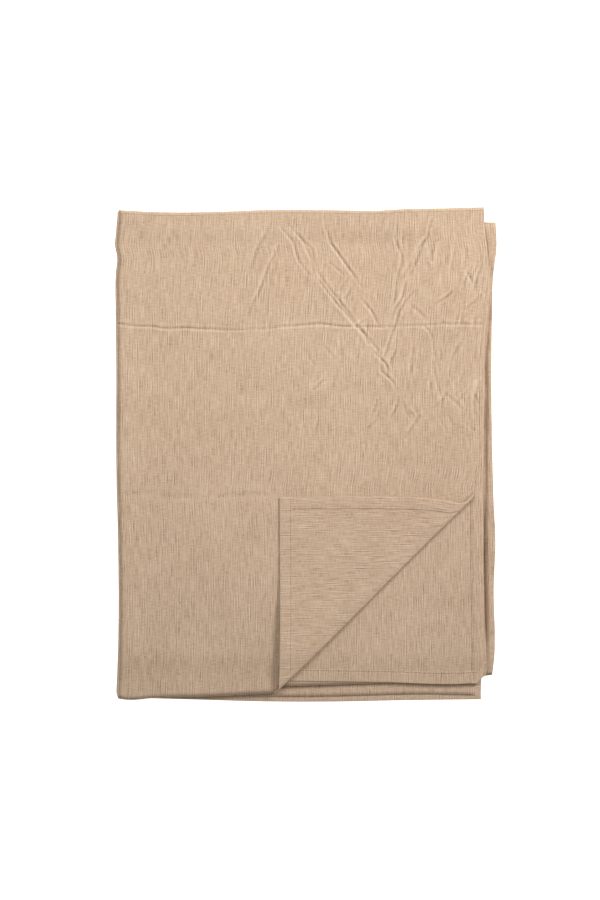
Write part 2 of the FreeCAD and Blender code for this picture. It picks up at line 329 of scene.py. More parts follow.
def gap_share(x, y):
    """How far the inner layers drop in the gap beside the upper layers' right edge."""
    down = np.clip((FOLD_TOP - y) / (FOLD_TOP + 0.374), 0, 1)
    edge = through(RIGHT_EDGE["front", 4], down) * MM
    open_here = 0.25 + 0.75 * ramp(down, 0.1, 0.5) * (1 - ramp(down, 0.86, 0.97))
    wrinkle = 0.12 * ripple(x, y, 0.024, 11)
    across = (x - edge - 3.0 * MM) / (3.3 * MM)
    drop = 0.86 * open_here * np.exp(-(across**2)) - wrinkle * ramp(x, 0.292, 0.297)
    return drop * (1 - near_top(y))


# %% [markdown]
# ## Pressed creases
# The cloth was folded small and pressed before it was laid out like this. It kept a sharp crease across,
# a fainter one below it, and a fan of slanting wrinkles that cross on the right. Each crease is a short
# line of places in millimetres, with a depth and a width. Across a crease the cloth dips sharply, and
# rises again into a soft shoulder, with a small step from one side to the other.

# %% The creases of the top layer
CREASES = [
    # depth, width, places
    (0.5, 1.6, [(-313, 215), (-241, 209), (-165, 207), (-110, 205), (-60, 208), (-27, 212), (22, 215),
                 (60, 211), (125, 210), (162, 212), (225, 215), (296, 214)]),
    (0.2, 3.4, [(-313, -62), (-200, -66), (-120, -63), (-45, -66)]),
    # the left arm of the fan, from the top middle down to the crossing
    (0.8, 1.7, [(19, 300), (40, 270), (62, 243), (84, 214), (108, 184), (125, 163)]),
    (0.75, 1.7, [(22, 285), (50, 248), (77, 215), (104, 182)]),
    (0.75, 1.7, [(52, 262), (60, 240), (80, 214), (97, 196), (102, 182)]),
    (0.6, 1.7, [(-42, 374), (-20, 347), (-12, 318), (8, 292)]),
    (0.5, 1.7, [(-28, 378), (-4, 348), (8, 322), (12, 296)]),
    (0.55, 1.7, [(-14, 362), (8, 338), (14, 310)]),
    (0.6, 1.7, [(30, 378), (42, 346), (62, 316), (82, 290)]),
    (0.5, 1.7, [(36, 352), (58, 322), (92, 275)]),
    (0.6, 1.7, [(90, 257), (108, 235), (120, 210)]),
    # the right arm, from the top right down to the crossing
    (0.75, 1.7, [(206, 386), (198, 358), (184, 340), (176, 318)]),
    (0.7, 1.7, [(192, 352), (182, 320), (170, 296)]),
    (0.8, 1.7, [(177, 270), (161, 254), (152, 234), (146, 214), (139, 190), (131, 168), (124, 155)]),
    (0.6, 1.7, [(164, 285), (158, 262), (146, 240), (142, 222)]),
    (0.55, 1.7, [(160, 372), (158, 335), (152, 300), (146, 262), (140, 236)]),
    (0.5, 1.7, [(150, 392), (146, 356), (157, 326), (158, 300)]),
    (0.5, 1.7, [(205, 350), (206, 318), (210, 350), (222, 356)]),
    # where the arms cross, and the short creases that leave it
    (0.7, 1.7, [(112, 168), (128, 152), (134, 142), (131, 128)]),
    (0.6, 1.7, [(124, 158), (122, 138), (134, 128), (144, 118), (150, 104)]),
    (0.5, 1.7, [(147, 172), (138, 152), (140, 140)]),
    (0.5, 1.7, [(116, 90), (112, 72), (106, 54)]),
    (0.5, 1.7, [(152, 94), (146, 76), (138, 58)]),
    (0.4, 1.7, [(158, 92), (164, 70), (176, 52)]),
    (0.4, 1.7, [(176, 190), (172, 150), (170, 122)]),
    (0.45, 1.7, [(206, 168), (212, 130), (220, 96)]),
    (0.4, 1.7, [(232, 120), (222, 84), (224, 62)]),
    (0.4, 1.7, [(252, 184), (240, 160), (234, 130)]),
    # near the side hem
    (0.65, 1.7, [(289, 312), (281, 292), (276, 270)]),
    (0.6, 1.7, [(270, 308), (262, 290), (257, 270)]),
    (0.5, 1.7, [(262, 302), (270, 290), (276, 276)]),
    (0.4, 1.7, [(246, 352), (240, 320), (236, 296)]),
    # the left side
    (0.35, 2.4, [(-60, 381), (-80, 338), (-96, 294)]),
    (0.55, 1.7, [(-46, 345), (-66, 300), (-80, 262), (-98, 228)]),
    (0.3, 2.8, [(-215, 372), (-238, 335), (-241, 300)]),
    (0.3, 2.6, [(-265, -325), (-258, -352), (-254, -382)]),
]


def small_creases(count):
    """Short slanting creases scattered between the long ones."""
    creases = []
    for _ in range(count):
        x = 290 - 300 * random.random() ** 1.4
        y = random.uniform(20, 385)
        length = random.uniform(14, 46)
        lean = random.gauss(0, 0.42)
        dx, dy = length * math.sin(lean), -length * math.cos(lean)
        bend = random.uniform(-0.09, 0.09) * length
        line = [(x, y), (x + dx / 2 + bend, y + dy / 2), (x + dx, y + dy)]
        creases.append((random.uniform(0.16, 0.42), random.uniform(1.5, 2.2), line))
    return creases


CREASES += small_creases(90)


def far_from(line, x, y):
    """How far each point is from a line of places, in millimetres, on which side, and how far along it."""
    nearest = np.full(x.shape, 1e9)
    side = np.zeros(x.shape)
    along = np.zeros(x.shape)
    runs = len(line) - 1
    for index in range(runs):
        (x0, y0), (x1, y1) = line[index], line[index + 1]
        run = np.array([x1 - x0, y1 - y0], float)
        t = ((x - x0) * run[0] + (y - y0) * run[1]) / (run @ run)
        held = np.clip(t, 0, 1)
        away = np.hypot(x - x0 - held * run[0], y - y0 - held * run[1])
        closer = away < nearest
        nearest = np.where(closer, away, nearest)
        turned = (x - x0) * run[1] - (y - y0) * run[0]
        side = np.where(closer, np.sign(turned), side)
        along = np.where(closer, (index + held) / runs, along)
    return nearest, side, along


def crease_relief(x, y):
    """Metres of height the pressed creases add, and a tone: above 0 is painted shade in the dips, below 0 a
    paler shoulder, partly worn and partly painted highlight.
    """
    height = np.zeros(x.shape)
    shade_and_wear = np.zeros(x.shape)
    wander = 1.2 * ripple(x, y, 0.03, 3)
    for number, (depth, width, line) in enumerate(CREASES):
        away, side, along = far_from(line, x / MM + wander, y / MM - wander)
        strength = 1.1 + 0.55 * ripple(along * 0.13, number, 0.03, 4)
        if number > 1:
            strength = strength * np.sin(np.pi * np.clip(0.12 + 0.8 * along, 0, 1))
        dip = np.exp(-((away / width) ** 2))
        shoulder = np.exp(-(((away - 2.1 * width) / (1.3 * width)) ** 2))
        step = side * (away / width) * dip
        height += depth * strength * (1.0 * shoulder - 1.4 * dip + 2.5 * step)
        # The tone is painted shade in each dip, and a paler shoulder, partly worn and partly painted
        # highlight, stronger on one side.
        shade_and_wear += depth * strength * (2.0 * dip - 1.5 * shoulder * (side > 0) - 0.6 * shoulder * (side < 0))
    return height * MM, np.clip(shade_and_wear, -0.9, 1.3)


# %% [markdown]
# Between the creases the cloth has long soft waves, and short upright puckers where it was gathered on the
# right. Two or three sizes of noise, stretched along the length, give both.

# %% The relief of the layers
def relief_kept(y):
    """1 down the top layer, and 0 where it meets the top fold, so that the two pieces meet evenly."""
    return 1 - ramp(y, 0.368, 0.391)


def top_relief(x, y):
    creases, shade_and_wear = crease_relief(x, y)
    waves = 0.55 * ripple(x, y, 0.16, 5) + 0.22 * ripple(x, y * 0.6, 0.055, 6)
    gathered = ramp(x, 0.06, 0.2) * ramp(y, 0.05, 0.2) + 0.25
    puckers = (0.5 * ripple(x, y * 0.22, 0.018, 8) + 0.3 * ripple(x, y * 0.25, 0.0095, 9)) * gathered
    crumple = 0.10 * ripple(x, y, 0.012, 10)
    return creases + (waves + puckers + crumple) * MM, shade_and_wear


def plain_relief(x, y, seed):
    """Gentler waves, for the layers below the top one."""
    waves = 0.3 * ripple(x, y, 0.13, seed) + 0.14 * ripple(x, y * 0.5, 0.035, seed + 1)
    return (waves + 0.07 * ripple(x, y, 0.013, seed + 2)) * MM


# %% [markdown]
# `carry` is the whole folding. It takes places on the flat cloth, finds which quarter or fold they are in,
# and gives back where they lie. In a fold between two quarters it goes round half a circle. Past the top
# fold's line it goes round the middle of the pile, and comes back below it.

# %% From the flat cloth to the folded one
SEQUENCE = {"quarter_1": 1, "quarter_2": 2, "quarter_3": 3, "quarter_4": 4}
ROUND_FOLDS = {
    # the quarter before the fold, the one after it, and the share across where it lies
    "outer_fold": (1, 2, 0.0),
    "right_fold": (2, 3, 1.0),
    "inner_fold": (3, 4, 0.0),
}


def region_of(u):
    for name, (_, end) in ACROSS.items():
        if u <= end + 1e-9:
            return name
    return "quarter_4"


def carry(u, v):
    """Where places on the flat cloth lie when it is folded, as arrays of x, y and z."""
    x, y, z = (np.zeros(u.shape) for _ in range(3))
    names = np.array([region_of(place) for place in u])
    top_share = np.clip((v - HALF_LENGTH) / TOP_ROUND, 0, 1)
    for name in ACROSS:
        for half in ("front", "back"):
            on_front = v <= HALF_LENGTH + TOP_ROUND / 2
            on_half = on_front if half == "front" else ~on_front
            here = (names == name) & on_half
            if not here.any():
                continue
            if half == "front":
                down = np.clip(1 - v[here] / HALF_LENGTH, 0, 1)
            else:
                down = np.clip((v[here] - HALF_LENGTH - TOP_ROUND) / HALF_LENGTH, 0, 1)
            start, end = ACROSS[name]
            share = (u[here] - start) / (end - start)
            if name in SEQUENCE:
                quarter = SEQUENCE[name]
                share_across = 1 - share if quarter in (1, 3) else share
                px, py = plan(half, quarter, share_across, down)
                rise = np.full(px.shape, OFFSET[quarter])
            else:
                first, second, side = ROUND_FOLDS[name]
                ax, ay = plan(half, first, np.full(share.shape, side), down)
                bx, by = plan(half, second, np.full(share.shape, side), down)
                turn = np.pi * share
                radius = abs(OFFSET[first] - OFFSET[second]) / 2
                outward = radius * np.sin(turn) * (1 if side else -1)
                px = ax + (bx - ax) * share + outward
                py = ay + (by - ay) * share
                middle = (OFFSET[first] + OFFSET[second]) / 2
                rise = middle + (OFFSET[first] - OFFSET[second]) / 2 * np.cos(turn)
            angle = np.pi * top_share[here]
            py = py + rise * np.sin(angle)
            if name == "quarter_1" and half == "front":
                relief = top_relief(px, py)[0] * relief_kept(py)
            else:
                relief = plain_relief(px, py, 20 if half == "front" else 30)
                keep = (1 - near_top(py)) * (1 - 0.8 * ramp(px, 0.27, 0.3))
                relief = relief * keep * (0.8 if name == "quarter_4" else 0.35)
            level = MIDDLE + rise * np.cos(angle)
            share_here = pile_share(px, py)
            if name in ("quarter_2", "right_fold", "quarter_3"):
                share_here = share_here - gap_share(px, py)
            x[here] = px
            y[here] = py
            z[here] = np.maximum(level * share_here + relief, 0.3 * MM)
    return x, y, z


# %% [markdown]
# ## Making a region of cloth
# A region starts as a grid. Its columns and rows sit at given places on the flat cloth, closer together
# where it bends. The flat place is stored as the UV map, in metres, so the weave later follows every fold.
# A Solidify modifier then gives the cloth its thickness. The other way would be to model two faces by hand,
# but the modifier keeps both sides and the rims in step.

# %% Turning flat places into a piece
CLOTH_THICKNESS = 0.45 * MM


def stations(start, end, step):
    count = max(2, int(round((end - start) / step)) + 1)
    return list(np.linspace(start, end, count))


def flat_grid(columns, rows):
    """A bmesh grid lying on the flat cloth, with its columns and rows at the given places."""
    bm = bmesh.new()
    bmesh.ops.create_grid(bm, x_segments=len(columns) - 1, y_segments=len(rows) - 1, size=0.5)
    for vert in bm.verts:
        column = int(round((vert.co.x + 0.5) * (len(columns) - 1)))
        row = int(round((vert.co.y + 0.5) * (len(rows) - 1)))
        vert.co = (columns[column], rows[row], 0)
    return bm


def mark_flat_places(bm):
    flat_places = bm.loops.layers.uv.new("flat_cloth")
    for face in bm.faces:
        for loop in face.loops:
            loop[flat_places].uv = loop.vert.co.xy


def read_places(bm):
    return np.array([vert.co for vert in bm.verts])


def write_places(bm, x, y, z):
    for vert, place in zip(bm.verts, zip(x, y, z)):
        vert.co = place


def finish_piece(bm, name, thickness=CLOTH_THICKNESS, offset=0.0):
    """The bmesh as a smooth object in the scene, with its thickness."""
    bmesh.ops.recalc_face_normals(bm, faces=bm.faces)
    mesh = bpy.data.meshes.new(name)
    bm.to_mesh(mesh)
    bm.free()
    for polygon in mesh.polygons:
        polygon.use_smooth = True
    piece = bpy.data.objects.new(name, mesh)
    bpy.context.collection.objects.link(piece)
    if thickness:
        solid = piece.modifiers.new("thickness", "SOLIDIFY")
        solid.thickness = thickness
        solid.offset = offset
        solid.use_rim = True
    print("%s: %d faces" % (name, len(mesh.polygons)))
    return piece


# %% [markdown]
# ## The two halves below the top layer
# The back half is all four quarters in one piece. The front half's lower quarters are another, from just
# under the top layer's left fold. Where its cloth shows, beside the right fold, the grid is finer.

# %% The back half, and the inner layers of the front half
def fold_stations(name, steps):
    start, end = ACROSS[name]
    return list(np.linspace(start, end, steps + 1))[1:-1]


def cloth_columns(names, steps):
    """Columns through the named regions. A quarter has a spacing in metres, a fold a number of steps."""
    columns = []
    for name, step in zip(names, steps):
        start, end = ACROSS[name]
        if name in SEQUENCE:
            columns += stations(start, end, step)
        else:
            columns += fold_stations(name, step)
    return columns


def carried_piece(name, columns, rows):
    bm = flat_grid(columns, rows)
    mark_flat_places(bm)
    places = read_places(bm)
    write_places(bm, *carry(places[:, 0], places[:, 1]))
    return finish_piece(bm, name)


BACK_START = HALF_LENGTH + TOP_ROUND
back_names = list(ACROSS)
back_columns = cloth_columns(back_names, [0.008, 8, 0.009, 6, 0.009, 4, 0.008])
back_rows = stations(BACK_START, BACK_START + HALF_LENGTH, 0.007)
back_cloth = carried_piece("back_half_cloth", back_columns, back_rows)

fold_start, fold_end = ACROSS["right_fold"]
inner_columns = stations(ACROSS["quarter_2"][0], fold_start - 0.045, 0.01)
inner_columns += stations(fold_start - 0.0435, fold_start, 0.0015) + fold_stations("right_fold", 6)
inner_columns += stations(fold_end, fold_end + 0.0435, 0.0015)
inner_columns += stations(fold_end + 0.045, ACROSS["quarter_3"][1], 0.01)
inner_columns += cloth_columns(["inner_fold", "quarter_4"], [4, 0.005])
inner_cloth = carried_piece("front_inner_cloth", inner_columns, stations(0, HALF_LENGTH, 0.0065))

# %% [markdown]
# ## The top folds
# Where the two halves join, four folds lie one inside another. Each is its own piece. The short stretches
# that go round the side folds are pieces too. An even number of rows leaves no row at the very middle, so
# every row belongs to one half.

# %% The strips of cloth round the top folds
TOP_ROWS = list(np.linspace(HALF_LENGTH, BACK_START, 14))
top_strips = []
for name in ACROSS:
    start, end = ACROSS[name]
    columns = stations(start, end, 0.005) if name in SEQUENCE else [start] + fold_stations(name, 8) + [end]
    strip = carried_piece("top_fold_cloth_%s" % name, columns, TOP_ROWS)
    top_strips.append((strip, name))

# %% [markdown]
# ## The top layer and its turned-back corner
# The corner is turned back along a diagonal. On the real cloth it isn't pressed flat there: it goes round a
# soft roll, highest at the end hem. All three pieces, the top layer, the roll and the corner, come from one
# grid in the floor plan, cut along lines parallel to the diagonal. The bisect operator makes a clean cut
# and keeps the UV map right along it.

# %% Measures of the roll
CREASE_LINE = 337 * MM
ROLL_LENGTH = 13 * MM
OUTWARD = Vector((1, -1, 0)).normalized()
# Where the crease ends: this far right at the side hem, and this far down at the end hem.
CREASE_RIGHT, CREASE_DOWN = 0.283, -0.391


def from_crease(x, y):
    """How far past the crease a place lies, before the corner is turned back."""
    return (x - y - CREASE_LINE) / math.sqrt(2)


def down_crease(x, y):
    """0 at the crease's end by the side hem, and 1 at its end by the end hem."""
    along = (x + y) / math.sqrt(2)
    top = (CREASE_RIGHT + CREASE_RIGHT - CREASE_LINE) / math.sqrt(2)
    low = (CREASE_DOWN + CREASE_DOWN + CREASE_LINE) / math.sqrt(2)
    return np.clip((top - along) / (top - low), 0, 1)


def roll_height(share):
    return through([(0, 4.6), (0.12, 5.4), (0.35, 5.8), (0.6, 7.2), (0.85, 10.4), (1, 11.6)], share) * MM


# The roll starts at the crease, nowhere higher than ROLL_FOOT, and its far edge is nowhere lower than
# ROLL_TOP.
ROLL_FOOT, ROLL_TOP = 13.3 * MM, 16.2 * MM


def roll_reach(share):
    return through([(0, 1.5), (0.12, 3.2), (0.5, 4.6), (0.85, 4.4), (1, 2.4)], share) * MM


# %% The shape of the roll and of the corner past it
def layer_height(x, y):
    """The top layer's own height at a place on the plan."""
    return HEIGHT["front", 1] * pile_share(x, y) + top_relief(x, y)[0]


def turned_back(x, y):
    """Where a place past the crease goes when the corner is turned back."""
    past = from_crease(x, y)
    share = down_crease(x, y)
    round_share = np.clip(past / ROLL_LENGTH, 0, 1)
    beyond = np.maximum(past - ROLL_LENGTH, 0)
    turn = np.pi * round_share
    foot_x = x - OUTWARD.x * past
    foot_y = y - OUTWARD.y * past
    plan_past = roll_reach(share) * np.sin(turn) - beyond
    px = foot_x + OUTWARD.x * plan_past
    py = foot_y + OUTWARD.y * plan_past
    # The corner's top edge was pulled down a little as it was laid, most of all next to the roll.
    from_side_hem = CREASE_RIGHT - x
    pulled = (7 + 7 * np.exp(-(((px - 0.252) / 0.05) ** 2))) * np.exp(-((from_side_hem / 0.06) ** 2))
    py = py - pulled * MM * np.clip(past / (2 * ROLL_LENGTH), 0, 1)
    foot = layer_height(foot_x, foot_y)
    lift = np.maximum(roll_height(share), ROLL_TOP - foot)
    spread = (50 + 115 * ramp(share, 0.5, 1.0)) * MM
    resting = 1.5 * MM
    settled = resting + (lift - resting) * np.exp(-((beyond / spread) ** 2))
    rising = lift * (1 - np.cos(turn)) / 2
    over = np.where(round_share < 1, rising, settled)
    ground = foot * (1 - ramp(beyond, 0, 0.03))
    ground = ground + layer_height(px, py) * ramp(beyond, 0, 0.03)
    own = 0.35 * ripple(px, py, 0.09, 41) + 0.12 * ripple(px, py, 0.03, 42)
    own += 0.05 * ripple(px, py, 0.011, 43)
    smooth_ground = ground + (own + 0.35) * MM * ramp(beyond, 0, 0.02)
    return px, py, smooth_ground + over


# %% The grid of the top layer, in the floor plan
def top_layer_plan(columns, rows):
    """A grid of quarter 1's front half, laid out in the floor plan with its flat places marked."""
    bm = flat_grid(columns, rows)
    mark_flat_places(bm)
    places = read_places(bm)
    across = 1 - places[:, 0] / QUARTER_WIDTH[1]
    x, y = plan("front", 1, across, 1 - places[:, 1] / HALF_LENGTH)
    write_places(bm, x, y, np.zeros(x.shape))
    return bm


def cut_at(bm, past, keep_inside):
    """Cuts along a line parallel to the crease, and keeps one side."""
    on_line = Vector((CREASE_LINE, 0, 0)) + OUTWARD * past
    bmesh.ops.bisect_plane(
        bm,
        geom=list(bm.verts) + list(bm.edges) + list(bm.faces),
        plane_co=on_line,
        plane_no=OUTWARD,
        clear_outer=keep_inside,
        clear_inner=not keep_inside,
    )
    return bm


FINE_STEP, COARSE_STEP = 0.0022, 0.007
top_columns = stations(0, 0.395, FINE_STEP) + stations(0.401, QUARTER_WIDTH[1], COARSE_STEP)
top_rows = stations(0, 0.424, COARSE_STEP) + stations(0.43, HALF_LENGTH, FINE_STEP)
bm = cut_at(top_layer_plan(top_columns, top_rows), 0, keep_inside=True)
places = read_places(bm)
relief, shade_and_wear = top_relief(places[:, 0], places[:, 1])
relief = relief * relief_kept(places[:, 1])
level = HEIGHT["front", 1] * pile_share(places[:, 0], places[:, 1]) + relief
write_places(bm, places[:, 0], places[:, 1], level)
top_cloth = finish_piece(bm, "top_layer_cloth")
# The creases' tone goes to the material as a point attribute: painted shade in the dips, and partly painted
# highlight on the shoulders.
shade_and_wear_layer = top_cloth.data.attributes.new("crease_shade_and_wear", "FLOAT", "POINT")
shade_and_wear_layer.data.foreach_set("value", shade_and_wear.astype(np.float32))

# %% The top layer's left fold
left_columns = list(np.linspace(*ACROSS["outer_fold"], 11))
left_fold = carried_piece("left_fold_cloth", left_columns, stations(0, HALF_LENGTH, 0.003))

# %% The roll and the corner
def corner_region(name, start, end, step):
    """The part of the corner from start to end past the crease, or to its tip where end is None."""
    reach = 0.36
    bm = top_layer_plan(stations(0, reach, step), stations(0, reach, step))
    cut_at(bm, start, keep_inside=False)
    if end is not None:
        for share in np.linspace(0, 1, 9)[1:-1]:
            line = Vector((CREASE_LINE, 0, 0)) + OUTWARD * (start + (end - start) * share)
            geometry = list(bm.verts) + list(bm.edges) + list(bm.faces)
            bmesh.ops.bisect_plane(bm, geom=geometry, plane_co=line, plane_no=OUTWARD)
        cut_at(bm, end, keep_inside=True)
    places = read_places(bm)
    x, y, z = turned_back(places[:, 0], places[:, 1])
    write_places(bm, x, y, z)
    past = from_crease(places[:, 0], places[:, 1])
    for edge in (start, end):
        if edge is not None:
            heights = z[np.abs(past - edge) < 0.05 * MM] / MM
            facts = (name, edge / MM, heights.min(), heights.max())
            print("%s at %.0f mm past the crease: z from %.1f to %.1f mm" % facts)
    return finish_piece(bm, name)


roll_cloth = corner_region("corner_roll_cloth", 0, ROLL_LENGTH, 0.0032)
flap_cloth = corner_region("corner_flap_cloth", ROLL_LENGTH, None, 0.0028)

# %% [markdown]
# ## Hems
# A hem is the edge of the cloth turned twice to the wrong side and stitched down. Seen from the side it is
# a rounded edge three layers thick. Seen from its open face it is a flat band with a step at its inner
# edge, and the stitches pull it in just before that step. One cross-section, carried along the edge, makes
# that. It is a grid too, whose rows follow the cross-section and whose columns follow the edge.

# %% The cross-section of a hem
HEM_SECTION = [
    # millimetres in from the edge, and millimetres above the cloth's middle, on its wrong side
    (-0.25, -0.22),
    (-0.42, 0.1),
    (-0.4, 0.45),
    (-0.15, 0.75),
    (0.6, 0.88),
    (3.0, 0.92),
    (8.0, 0.84),
    (13.0, 0.88),
    (16.2, 0.86),
    (17.8, 0.46),
    (19.0, 0.84),
    (19.8, 0.82),
    (20.1, 0.55),
    (20.15, 0.15),
]
HEM_WIDTH = 20.1 * MM
STITCH_IN = 17.8 * MM
STITCH_RISE = 0.6 * MM
# How thick the hem's grid is, inwards from its outer face, and how far a side hem runs under an end hem.
HEM_SHELL = 0.3 * MM
HEM_UNDER = 6 * MM


def edge_frame(points, inward_points):
    """Unit directions from each edge point to its partner further in."""
    inward = inward_points - points
    return inward / np.linalg.norm(inward, axis=1)[:, None]


def hem_along(name, surface, starts, side, step, weave_across=True):
    """A hem along an edge. surface(s, d) gives places d metres in from the edge, s along it."""
    along = stations(*starts, step)
    rows = list(range(len(HEM_SECTION)))
    bm = flat_grid(along, rows)
    flat_places = bm.loops.layers.uv.new("flat_cloth")
    for face in bm.faces:
        for loop in face.loops:
            depth = HEM_SECTION[int(round(loop.vert.co.y))][0]
            place = (loop.vert.co.x, depth * MM)
            loop[flat_places].uv = place if weave_across else place[::-1]
    places = read_places(bm)
    s = places[:, 0]
    index = np.round(places[:, 1]).astype(int)
    section = np.array(HEM_SECTION)[index] * MM
    held = np.maximum(section[:, 0], 0.0)
    base = surface(s, held)
    edge = surface(s, np.zeros(s.shape))
    inner = surface(s, np.full(s.shape, 4 * MM))
    inward = edge_frame(edge, inner)
    outside = np.minimum(section[:, 0], 0.0)[:, None]
    pucker = 1 + 0.07 * ripple(s, s * 0, 0.008, 51) + 0.06 * ripple(s, s * 0 + 1, 0.03, 52)
    rise = section[:, 1] * np.where(section[:, 1] > 0.3 * MM, pucker, 1.0)
    if not weave_across:
        # A side hem runs in under the end hem at the cloth's corner.
        past_end_hem = 0.4 + 0.6 * ramp(s, HEM_WIDTH - 1.5 * MM, HEM_WIDTH + 1.5 * MM)
        rise = np.where(rise > 0, rise * past_end_hem, rise)
    point = base + inward * outside
    point[:, 2] += side * rise
    write_places(bm, point[:, 0], point[:, 1], point[:, 2])
    return finish_piece(bm, name, HEM_SHELL, -1.0)


# %% [markdown]
# The surface under each hem is the same folding as the cloth's, so a hem sits on its layer wherever the
# layer goes. On the top layer the two hems stop at the crease and go on round the corner.

# %% Surfaces for the hems to follow
def end_surface(half, quarter):
    """Places near a layer's end, s along it in metres from the left fold or hem, d in from the end."""
    start, _ = ACROSS["quarter_%d" % quarter]

    def surface(s, d):
        v = d if half == "front" else BACK_START + HALF_LENGTH - d
        return np.column_stack(carry(start + s, np.broadcast_to(v, s.shape)))

    return surface


def side_surface(half, quarter):
    """Places near a layer's hemmed side, s along it in metres from the end, d in from the side."""

    def surface(s, d):
        u = d if quarter == 1 else FLAT_WIDTH - d
        v = s if half == "front" else BACK_START + HALF_LENGTH - s
        return np.column_stack(carry(np.broadcast_to(u, s.shape), v))

    return surface


def corner_end_surface(s, d):
    """The end hem's surface on the turned-back corner, s from the side hem's edge."""
    x, y = plan("front", 1, 1 - s / QUARTER_WIDTH[1], 1 - d / HALF_LENGTH)
    return np.column_stack(turned_back(x, y))


def corner_side_surface(s, d):
    """The side hem's surface on the turned-back corner, s from the end hem's edge."""
    x, y = plan("front", 1, 1 - d / QUARTER_WIDTH[1], 1 - s / HALF_LENGTH)
    return np.column_stack(turned_back(x, y))


# %% Where the crease crosses the top layer's edges
def crossing(edge):
    """How far along an edge of the top layer the crease crosses it."""
    steps = np.linspace(0.2, 0.5, 3001)
    if edge == "end":
        x, y = plan("front", 1, 1 - steps / QUARTER_WIDTH[1], np.ones(steps.shape))
    else:
        x, y = plan("front", 1, np.ones(steps.shape), 1 - steps / HALF_LENGTH)
    return float(steps[np.argmin(np.abs(from_crease(x, y)))])


END_CROSSING = crossing("end")
SIDE_CROSSING = crossing("side")
crossings = (END_CROSSING, SIDE_CROSSING)
print("the crease crosses the end %.3f m and the side %.3f m from the corner" % crossings)

# %% All the hems
UP, DOWN = 1, -1
HEM_FACE = {("front", 1): DOWN, ("front", 4): UP, ("front", 3): DOWN, ("front", 2): UP,
            ("back", 2): DOWN, ("back", 3): UP, ("back", 4): DOWN, ("back", 1): UP}
hems = []
seams = []
for (half, quarter), face in HEM_FACE.items():
    width = QUARTER_WIDTH[quarter]
    start = END_CROSSING if (half, quarter) == ("front", 1) else 0.0
    surface = end_surface(half, quarter)
    step = 0.005 if quarter in (1, 4) else 0.008
    hem = hem_along("%s_end_hem_cloth_%d" % (half, quarter), surface, (start, width), face, step)
    hems.append((hem, half, "end", quarter))
    seams.append((half, surface, start + 4 * MM, width, face))
    if quarter in (1, 4):
        start = SIDE_CROSSING if (half, quarter) == ("front", 1) else HEM_WIDTH - HEM_UNDER
        surface = side_surface(half, quarter)
        name = "%s_side_hem_cloth_%d" % (half, quarter)
        hem = hem_along(name, surface, (start, HALF_LENGTH), face, 0.005, weave_across=False)
        hems.append((hem, half, "side", quarter))
        seams.append((half, surface, start, HALF_LENGTH, face))

ROLL_FLAT = ROLL_LENGTH * math.sqrt(2)
corner_hem_end = hem_along(
    "corner_end_hem_cloth", corner_end_surface, (0.0, END_CROSSING - 2 * MM), UP, 0.003)
corner_hem_side = hem_along(
    "corner_side_hem_cloth", corner_side_surface, (HEM_WIDTH - HEM_UNDER, SIDE_CROSSING - 2 * MM), UP,
    0.003, weave_across=False)
seams.append(("corner", corner_end_surface, 0.002, END_CROSSING - ROLL_FLAT - HEM_WIDTH, UP))
seams.append(("corner", corner_side_surface, HEM_WIDTH, SIDE_CROSSING - ROLL_FLAT - HEM_WIDTH, UP))

# %% [markdown]
# ## Stitches
# Each stitch is a small rounded bar that lies in the hem's dip, with a short gap to the next. There are
# over two thousand, so each has only two dozen faces. All the stitches on one body are one piece.

# %% The rows of stitches
STITCH_PITCH = 3.1 * MM
STITCH_LENGTH = 2.5 * MM
STITCH_WIDE = 0.75 * MM


def stitch_shape():
    bm = bmesh.new()
    bmesh.ops.create_uvsphere(bm, u_segments=6, v_segments=4, radius=0.5)
    lengthways = Vector((1, 0, 0)).rotation_difference(Vector((0, 0, 1))).to_matrix()
    bmesh.ops.rotate(bm, verts=bm.verts, matrix=lengthways)
    bmesh.ops.scale(bm, verts=bm.verts, vec=(STITCH_LENGTH, STITCH_WIDE, STITCH_WIDE * 0.8))
    mesh = bpy.data.meshes.new("one_stitch")
    bm.to_mesh(mesh)
    bm.free()
    return mesh


def stitch_rows(name, rows, pattern):
    """Every stitch of the given rows, as one piece."""
    bm = bmesh.new()
    for surface, start, end, face in rows:
        count = int((end - start) / STITCH_PITCH)
        s = start + (np.arange(count) + 0.5) * STITCH_PITCH
        drift = 0.12 * MM * np.array([random.uniform(-1, 1) for _ in range(count)])
        middle = surface(s, STITCH_IN + drift)
        ahead = surface(s + 0.5 * MM, np.full(count, STITCH_IN))
        behind = surface(s - 0.5 * MM, np.full(count, STITCH_IN))
        middle[:, 2] += face * STITCH_RISE
        for place, heading in zip(middle, ahead - behind):
            turn = Vector((1, 0, 0)).rotation_difference(Vector(heading))
            stitch = pattern.copy()
            stitch.transform(Matrix.Translation(place) @ turn.to_matrix().to_4x4())
            bm.from_mesh(stitch)
            bpy.data.meshes.remove(stitch)
    return finish_piece(bm, name, None)


pattern = stitch_shape()
stitches = {}
for half in ("front", "back", "corner"):
    rows = [seam[1:] for seam in seams if seam[0] == half]
    stitches[half] = stitch_rows("%s_hem_stitches" % half, rows, pattern)

# %% [markdown]
# ## The linen
# Linen is woven from uneven yarns. Seen close, it is a plain weave of about ten threads to the centimetre.
# Further off, what shows is the slubs: thick and thin stretches of yarn, as fine streaks along the length
# and fainter ones across. The material reads the flat cloth's UV map, so the streaks follow each fold, and
# run across on the turned-back corner. The slubs are noise, stretched along one thread or the other. The
# threads of the weave are sine waves, bent a little by more noise.

# %% Helpers for the node tree
def add_node(tree, kind, **values):
    node = tree.nodes.new(kind)
    for name, value in values.items():
        if name.startswith("in_"):
            key = int(name[3:]) if name[3:].isdigit() else name[3:].replace("_", " ")
            node.inputs[key].default_value = value
        else:
            setattr(node, name, value)
    return node


